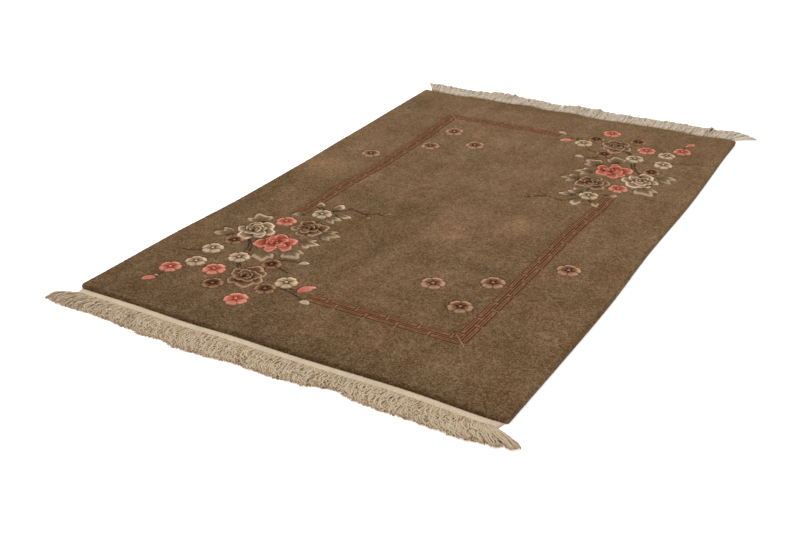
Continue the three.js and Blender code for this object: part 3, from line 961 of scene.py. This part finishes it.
top_faces = triangles_within(ring_plans[-1], np.stack([u[kept], v[kept]], axis=1))
under_lines = [np.arange(-reach, reach + UNDERSIDE_STEP / 2, UNDERSIDE_STEP) for reach in UNDERSIDE_REACH]
under_u, under_v = np.meshgrid(*under_lines)
under_points = np.stack([under_u.ravel(), under_v.ravel()], axis=1)
under_faces = triangles_within(ring_plans[0], under_points)[:, ::-1]
under_x, under_y = laid(under_points[:, 0], under_points[:, 1])

ring_total = ring_count * ring_size
top_start = ring_total - ring_size
top_index = np.concatenate([np.arange(top_start, ring_total), ring_total + np.arange(len(top_x))])
under_index = np.concatenate([np.arange(ring_size), ring_total + len(top_x) + np.arange(len(under_points))])
wall_faces = loop_quads(np.arange(ring_total).reshape(ring_count, ring_size))[:, FLIPPED]
body_points = np.concatenate([
    np.stack([ring_x.ravel(), ring_y.ravel(), ring_z.ravel()], axis=1),
    np.stack([top_x, top_y, top_height[kept]], axis=1),
    np.stack([under_x, under_y, np.zeros(len(under_points))], axis=1),
])
# Painted light on the wall, from its foot up to the shoulder; the underside takes the same lift.
ring_painted_light = np.linspace(WALL_PAINTED_LIGHT, 1.0, ring_count)[:, None, None]
ring_dye = field_dye(ring_plans[..., 0], ring_plans[..., 1]) * ring_painted_light
under_dye = field_dye(under_points[:, 0], under_points[:, 1]) * WALL_PAINTED_LIGHT
body_dye = np.concatenate([ring_dye.reshape(-1, 3), top_dye[kept], under_dye])
body_faces = wall_faces.tolist() + top_index[top_faces].tolist() + under_index[under_faces].tolist()
knotted_pile = dyed(piece("knotted_pile", body_points, body_faces, wool), body_dye)

# The webs: past the last row of knots the bare cotton warps are woven into a narrow flat strip at each end.
# A web is a thin cotton sheet, ribbed by its warps, and its edge lies against the foot of the pile.
WEB_DEPTH = 0.028
WEB_THICKNESS = 0.003
PIECE_GAP = 0.0003
WEB_HALF_WIDTH = 0.594
WEB_TAPER = 0.008
WEB_COLUMNS = 300
WEB_ROWS = 9
WEB_CREAM = (210, 189, 162)
WEB_ARCH = 0.0008
WARP_RIPPLE = 0.0003
WARP_PITCH = 0.009
WARP_SHIFT = 3
WARP_SHIFT_RATE = 40


def past_end(side, at_u, out):
    """A point past an end of the pile: beyond the end's edge at u by the distance out."""
    x, y = laid(at_u, side * HALF_LENGTH + 0 * at_u)
    return x, y + side * out


def web_strip(side):
    """A closed strip: a loop round the web's section, over its top and back along the floor, carried across
    the rug. The top is a low arch with an uneven ripple along the warps, and the strip narrows outwards."""
    at_u = np.linspace(-WEB_HALF_WIDTH, WEB_HALF_WIDTH, WEB_COLUMNS)
    shares = np.concatenate([np.linspace(0, 1, WEB_ROWS), np.linspace(1, 0, WEB_ROWS)])
    on_top = np.repeat([1.0, 0.0], WEB_ROWS)
    grid_u, share = np.meshgrid(at_u, shares)
    grid_u = grid_u * (1 - WEB_TAPER / WEB_HALF_WIDTH * share)
    x, y = past_end(side, grid_u, PIECE_GAP + share * (WEB_DEPTH - PIECE_GAP))
    shift = WARP_SHIFT * np.sin(WARP_SHIFT_RATE * grid_u)
    ripple = WARP_RIPPLE * np.sin(2 * np.pi * grid_u / WARP_PITCH + shift)
    height = WEB_THICKNESS - WEB_ARCH * (2 * share - 1) ** 4 + ripple
    points = np.stack([x, y, on_top[:, None] * height], axis=-1).transpose(1, 0, 2)
    quads, ends = strip_faces(WEB_COLUMNS, 2 * WEB_ROWS)
    if side > 0:
        quads = quads[:, ::-1]
        ends = ends[:, ::-1]
    return points.reshape(-1, 3), quads.tolist() + ends.tolist()


web_cotton, add, shader, links, place = fabric("web_cotton", 0.9, 0.15, (0.9, 0.85, 0.75))
ribs = add("ShaderNodeTexWave", {"bands_direction": "X"}, Vector=place, Scale=105.0, Distortion=0.8)
picks = add("ShaderNodeTexWave", {"bands_direction": "Y"}, Vector=place, Scale=160.0, Distortion=0.8)
woven = maths("MULTIPLY_ADD", ribs.outputs["Fac"], 0.7, picks.outputs["Fac"])
shade = times(spread(noise(place, 260), 0.84, 1.12), spread(noise(place, 22), 0.93, 1.07))
finished(scaled(linear(WEB_CREAM), shade), 0.5, 0.0006, woven)
for end, side in (("near", -1), ("far", 1)):
    web = piece("web_" + end, *web_strip(side), web_cotton)
    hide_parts("fringe_" + end)

# The fringes are the warps past the web, thick soft cotton yarns that lie matted in blunt locks and curl.
# Each yarn is a tube along its own path: out of the web, over with its lock's lean, and cut off at the tip.
# Each row: the place across, the reach of the tips from the pile, the lean to +X and the lock's height.
NEAR_FRINGE = [
    (-0.584, 0.082, -0.057, 0.019), (-0.560, 0.089, -0.046, 0.015), (-0.520, 0.091, -0.032, 0.012),
    (-0.470, 0.088, -0.018, 0.010), (-0.400, 0.089, -0.008, 0.009), (-0.310, 0.099, 0.004, 0.010),
    (-0.265, 0.094, 0.008, 0.009), (-0.205, 0.104, 0.010, 0.010), (-0.110, 0.105, -0.004, 0.010),
    (-0.030, 0.093, -0.006, 0.009), (0.060, 0.097, 0.006, 0.010), (0.140, 0.092, 0.002, 0.009),
    (0.190, 0.079, -0.008, 0.008), (0.240, 0.073, 0.000, 0.008), (0.270, 0.089, 0.006, 0.009),
    (0.390, 0.094, -0.004, 0.010), (0.440, 0.091, 0.004, 0.010), (0.480, 0.091, 0.018, 0.010),
    (0.515, 0.090, 0.034, 0.011), (0.550, 0.083, 0.055, 0.013), (0.584, 0.070, 0.074, 0.014),
]
FAR_FRINGE = [
    (-0.584, 0.104, -0.052, 0.014), (-0.558, 0.106, -0.034, 0.015), (-0.500, 0.103, -0.012, 0.015),
    (-0.390, 0.100, 0.000, 0.015), (-0.305, 0.112, 0.008, 0.024), (-0.190, 0.100, -0.006, 0.015),
    (-0.060, 0.100, -0.004, 0.015), (0.020, 0.108, 0.002, 0.020), (0.045, 0.110, 0.004, 0.016),
    (0.075, 0.114, 0.006, 0.022), (0.100, 0.106, 0.000, 0.016), (0.280, 0.102, -0.004, 0.015),
    (0.400, 0.103, 0.004, 0.015), (0.470, 0.106, 0.004, 0.015), (0.488, 0.112, 0.004, 0.024),
    (0.505, 0.106, 0.008, 0.015), (0.545, 0.108, 0.016, 0.017), (0.562, 0.106, 0.028, 0.017),
    (0.574, 0.092, 0.044, 0.015), (0.584, 0.072, 0.066, 0.012),
]
YARNS = 1856
YARN_RADIUS = 0.0021
YARN_RINGS = 16
YARN_SIDES = 3
YARN_TAPER = 0.15
YARN_THICKNESSES = (0.8, 1.2)
SLANT = (0.55, 0.10, 0.83)
WEB_EDGE_KEPT = 0.001
# Where a yarn has left the web, as shares of the way out.
WEB_LEFT = (0.1, 0.4)
ROOT_LAP = 0.003
ROOT_STRAY = 0.002
PLACE_STRAY = 0.1
REACH_STRAY = 0.0015
LOCK_LEAN_STRAY = 0.003
YARN_LEAN_STRAY = 0.0025
LEAN_POWER = 1.2
LAYER_DEPTH = 0.7
LAYER_POWER = 1.5
LOCK_ROUND = 0.0012
LOCK_SIDES_DOWN = 1.6
LOCK_DRAWN_IN = 0.3
LOCK_DRAWN_BY = 0.5
# A lock is held together by this share where its lean goes from one of these to the other. Its yarns are
# then cut back by a share of the lock's width and lean less by a share of that.
HELD_SHARE = 0.5
HELD_LEANS = (0.030, 0.060)
HELD_CUT = 0.45
HELD_CUT_LEAN = 0.4
# Yarns that lean more curl less, by up to this share.
STRAIGHTENED = 0.6
STRAIGHT_LEANS = (0.01, 0.08)
# A yarn's curl by chance, the share of the way out by which it is full, and its shares in each direction.
CURL_CHANCE = (0.5, 1.5)
CURLED_BY = 0.35
CURL_SIDEWAYS = 0.8
CURL_BACK = 0.9
CURL_UP = 0.35
# Turns of a yarn's long and short waves, in radians along it.
LONG_WAVE = (5, 9)
SHORT_WAVE = (12, 20)
TIP_FROM = (0.75, 1.0)
TIP_DROP = 0.7
LOCK_GAP_PAINTED_SHADE = 3.0
PAINTED_SHADE_LAYERS = (0.30, 0.80)
YARN_SHADES = (0.93, 1.00)
PLY_ALONG = 2.4
PLY_AROUND = 2.0
NEAR_CREAM = (234, 209, 176)
NEAR_SHADED_CREAM = (180, 136, 92)
FAR_CREAM = (255, 238, 217)
FAR_SHADED_CREAM = (140, 110, 76)
# Each row: the end, its side, its locks' rows and number, the curl of its yarns, how uneven its locks lie,
# the share of the way out by which a yarn has risen, the dye of its top yarns and the painted shade of its
# deep yarns and of the gaps between its locks.
FRINGES = [
    ("near", -1, NEAR_FRINGE, 58, 0.0048, 0.1, 0.50, NEAR_CREAM, NEAR_SHADED_CREAM),
    ("far", 1, FAR_FRINGE, 116, 0.0022, 0.3, 0.70, FAR_CREAM, FAR_SHADED_CREAM),
]


def tubes(paths, radii):
    """Tubes along many paths at once: at each ring, the sides' corners on a circle of the path's radius in
    the plane across the path, found from the path's direction and one slanted reference direction."""
    heading = np.gradient(paths, axis=1)
    heading /= np.linalg.norm(heading, axis=2, keepdims=True)
    level = np.cross(heading, SLANT)
    level /= np.linalg.norm(level, axis=2, keepdims=True)
    upright = np.cross(level, heading)
    angles = 2 * np.pi * np.arange(YARN_SIDES) / YARN_SIDES
    spoke = np.cos(angles)[:, None] * level[:, :, None] + np.sin(angles)[:, None] * upright[:, :, None]
    points = paths[:, :, None] + radii[:, :, None, None] * spoke
    index = np.arange(radii.size * YARN_SIDES).reshape(*radii.shape, YARN_SIDES)
    return points.reshape(-1, 3), loop_quads(index)[:, FLIPPED], index[:, 0, ::-1], index[:, -1]


def fringe_paths(side, rows, locks, curl, uneven, risen_by):
    """Every yarn's path: out from the web by its reach and sideways by its lock's lean times a power of
    the share. Its layer in the lock lifts it, and uneven locks lie at different heights and are drawn
    in. A long and a short wave, which grow from the web outwards, curl it sideways, back and forth and up
    and down. A lock that leans far to the right is held together and cut square to its lean."""
    half_width = WEB_HALF_WIDTH - WEB_TAPER
    pitch = 2 * half_width / locks
    lock = np.arange(YARNS) // (YARNS // locks)
    lock_u = -half_width + (lock + 0.5) * pitch
    off_middle = np.tile(np.linspace(-1, 1, YARNS // locks), locks) + rng.normal(0, PLACE_STRAY, YARNS)
    widest = half_width - WEB_EDGE_KEPT
    at_u = np.clip(lock_u + 0.5 * pitch * off_middle, -widest, widest)
    held = HELD_SHARE * ramp(eased(rows, 2, lock_u), *HELD_LEANS)
    read_u = at_u + held * (lock_u - at_u)
    lean = eased(rows, 2, read_u)
    cut_back = HELD_CUT * pitch * held * off_middle
    reach = eased(rows, 1, read_u) - LOCK_ROUND * off_middle ** 2 - cut_back
    straight = 1 - STRAIGHTENED * ramp(np.abs(lean), *STRAIGHT_LEANS)[:, None]
    lean = lean - HELD_CUT_LEAN * cut_back
    reach = reach + rng.normal(0, REACH_STRAY, locks)[lock] + rng.normal(0, REACH_STRAY, YARNS)
    lean = lean + rng.normal(0, LOCK_LEAN_STRAY, locks)[lock] + rng.normal(0, YARN_LEAN_STRAY, YARNS)
    layer = 1 - LAYER_DEPTH * rng.uniform(0, 1, YARNS) ** LAYER_POWER
    height = layer * (eased(rows, 3, lock_u) - 2 * YARN_RADIUS)
    height = height * (1 - uneven * rng.uniform(0, 1, locks)[lock])
    height = height * (1 - LOCK_SIDES_DOWN * uneven * np.minimum(np.abs(off_middle), 1) ** 3)
    share = np.linspace(0, 1, YARN_RINGS)[None, :]
    each = (YARNS, 1)
    long_wave = rng.uniform(*LONG_WAVE, each) * share + rng.uniform(0, 2 * np.pi, each)
    short_wave = rng.uniform(*SHORT_WAVE, each) * share + rng.uniform(0, 2 * np.pi, each)
    grown = curl * ramp(share, 0.0, CURLED_BY) * rng.uniform(*CURL_CHANCE, each) * straight
    start = WEB_DEPTH - ROOT_LAP + rng.uniform(-ROOT_STRAY, ROOT_STRAY, each)
    x, y = past_end(side, at_u[:, None], start + share * (reach[:, None] - start))
    drawn_in = LOCK_DRAWN_IN * uneven * pitch * off_middle[:, None] * ramp(share, 0.0, LOCK_DRAWN_BY)
    x = x + lean[:, None] * share ** LEAN_POWER - drawn_in
    x = x + grown * (CURL_SIDEWAYS * np.sin(long_wave) + CURL_SIDEWAYS * np.sin(short_wave))
    y = y + side * CURL_BACK * grown * np.cos(short_wave) * (1 - ramp(share, *TIP_FROM))
    radii = YARN_RADIUS * (1 - YARN_TAPER * share) * rng.uniform(*YARN_THICKNESSES, each)
    rise = ramp(share, 0.0, risen_by) * (1 - TIP_DROP * ramp(share, *TIP_FROM))
    in_web = WEB_THICKNESS / 2 * (1 - ramp(share, *WEB_LEFT))
    z = np.maximum(radii, radii + in_web + height[:, None] * rise + CURL_UP * grown * np.cos(long_wave))
    return np.stack([x, y, z], axis=-1), radii, layer


yarn_cotton, add, shader, links, place = fabric("fringe_cotton", 0.9, 0.12, (1.0, 0.93, 0.84))
wound = add("ShaderNodeUVMap", {"uv_map": "wound"}).outputs["UV"]
cotton_dye = add("ShaderNodeAttribute", {"attribute_name": "dye"}).outputs["Color"]
ply = add("ShaderNodeTexWave", {"bands_direction": "DIAGONAL"}, Vector=wound, Scale=1.0).outputs["Fac"]
finished(scaled(cotton_dye, spread(noise(place, 180), 0.90, 1.00)), 0.6, 0.0008, ply)
for end, side, rows, locks, curl, uneven, risen_by, cream, deep in FRINGES:
    paths, radii, layer = fringe_paths(side, rows, locks, curl, uneven, risen_by)
    off_middle = np.linspace(-1, 1, YARNS // locks)
    # Painted shade: yarns deep in the mat and at the sides of a lock take the shaded cream.
    lock_gap_shade = (LOCK_GAP_PAINTED_SHADE * uneven * rng.uniform(0, 1, (locks, 1)) ** 2 * off_middle ** 4).ravel()
    yarn_dye = mixed(cream, deep, np.maximum(lock_gap_shade, 1 - ramp(layer, *PAINTED_SHADE_LAYERS)))
    yarn_dye = yarn_dye * rng.uniform(*YARN_SHADES, (YARNS, 1))
    points, quads, starts, stops = tubes(paths, radii)
    faces = quads.tolist() + starts.tolist() + stops.tolist()
    fringe = piece("fringe_yarns_" + end, points, faces, yarn_cotton)
    coloured(fringe, np.repeat(yarn_dye, YARN_RINGS * YARN_SIDES, axis=0))
    quad_ring, quad_side = np.divmod(quads % (YARN_RINGS * YARN_SIDES), YARN_SIDES)
    quad_along = PLY_ALONG * quad_ring
    quad_around = PLY_AROUND * np.where(quad_side < quad_side[:, :1], quad_side + YARN_SIDES, quad_side)
    cap_uv = np.zeros((2 * YARNS * YARN_SIDES, 2))
    wound_uv = np.concatenate([np.stack([quad_along, quad_around], axis=-1).reshape(-1, 2), cap_uv])
    fringe.data.uv_layers.new(name="wound").uv.foreach_set("vector", wound_uv.ravel())
    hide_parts("fringe_" + end)

# The stage: a plain pale floor, a soft key light from behind on the left, a weak low fill light from the
# front, soft light all round, and a camera out beyond the near right corner that looks down on the rug.
FLOOR_HALF = 15.0
FLOOR_WHITE = 0.95
FLOOR_GLOW = 0.45
FLOOR_ROUGHNESS = 0.9
# Each row: the light, where it comes from, its strength and how wide it is in degrees.
LIGHTS = [("key_light", (-0.52, 0.44, 1.02), 1.92, 28), ("fill_light", (0.25, -0.95, 0.36), 0.50, 60)]
SKY_STRENGTH = 0.52
CAMERA_PLACE = (1.2780, -2.5374, 1.2630)
CAMERA_YAW = 30.1515
CAMERA_TILT = 62.6951
CAMERA_ROLL = -0.5179
CAMERA_LENS = 46.69
CAMERA_SENSOR = 36

floor_paint = bpy.data.materials.new("floor_paint")
floor_paint.use_nodes = True
floor_shader = floor_paint.node_tree.nodes["Principled BSDF"]
floor_shader.inputs["Base Color"].default_value = (FLOOR_WHITE, FLOOR_WHITE, FLOOR_WHITE, 1)
floor_shader.inputs["Roughness"].default_value = FLOOR_ROUGHNESS
floor_shader.inputs["Emission Color"].default_value = (1, 1, 1, 1)
floor_shader.inputs["Emission Strength"].default_value = FLOOR_GLOW
floor_mesh = bpy.data.meshes.new("floor")
floor_corners = [(-FLOOR_HALF, -FLOOR_HALF, 0), (FLOOR_HALF, -FLOOR_HALF, 0),
                 (FLOOR_HALF, FLOOR_HALF, 0), (-FLOOR_HALF, FLOOR_HALF, 0)]
floor_mesh.from_pydata(floor_corners, [], [(0, 1, 2, 3)])
floor_mesh.materials.append(floor_paint)
floor = bpy.data.objects.new("floor", floor_mesh)
bpy.context.scene.collection.objects.link(floor)

for light_name, comes_from, strength, angle in LIGHTS:
    lamp = bpy.data.lights.new(light_name, "SUN")
    lamp.energy = strength
    lamp.angle = math.radians(angle)
    light = bpy.data.objects.new(light_name, lamp)
    light.rotation_euler = (-Vector(comes_from)).to_track_quat("-Z", "Y").to_euler()
    bpy.context.scene.collection.objects.link(light)

sky = bpy.data.worlds.new("soft_light")
sky.use_nodes = True
sky.node_tree.nodes["Background"].inputs["Color"].default_value = (1, 1, 1, 1)
sky.node_tree.nodes["Background"].inputs["Strength"].default_value = SKY_STRENGTH
bpy.context.scene.world = sky
bpy.context.scene.view_settings.view_transform = "Standard"

camera_data = bpy.data.cameras.new("camera")
camera_data.sensor_width = CAMERA_SENSOR
camera_data.lens = CAMERA_LENS
camera = bpy.data.objects.new("camera", camera_data)
yaw = Matrix.Rotation(math.radians(CAMERA_YAW), 4, "Z")
tilt = Matrix.Rotation(math.radians(CAMERA_TILT), 4, "X")
roll = Matrix.Rotation(math.radians(CAMERA_ROLL), 4, "Z")
camera.matrix_world = Matrix.Translation(CAMERA_PLACE) @ (yaw @ tilt) @ roll
bpy.context.scene.collection.objects.link(camera)
bpy.context.scene.camera = camera
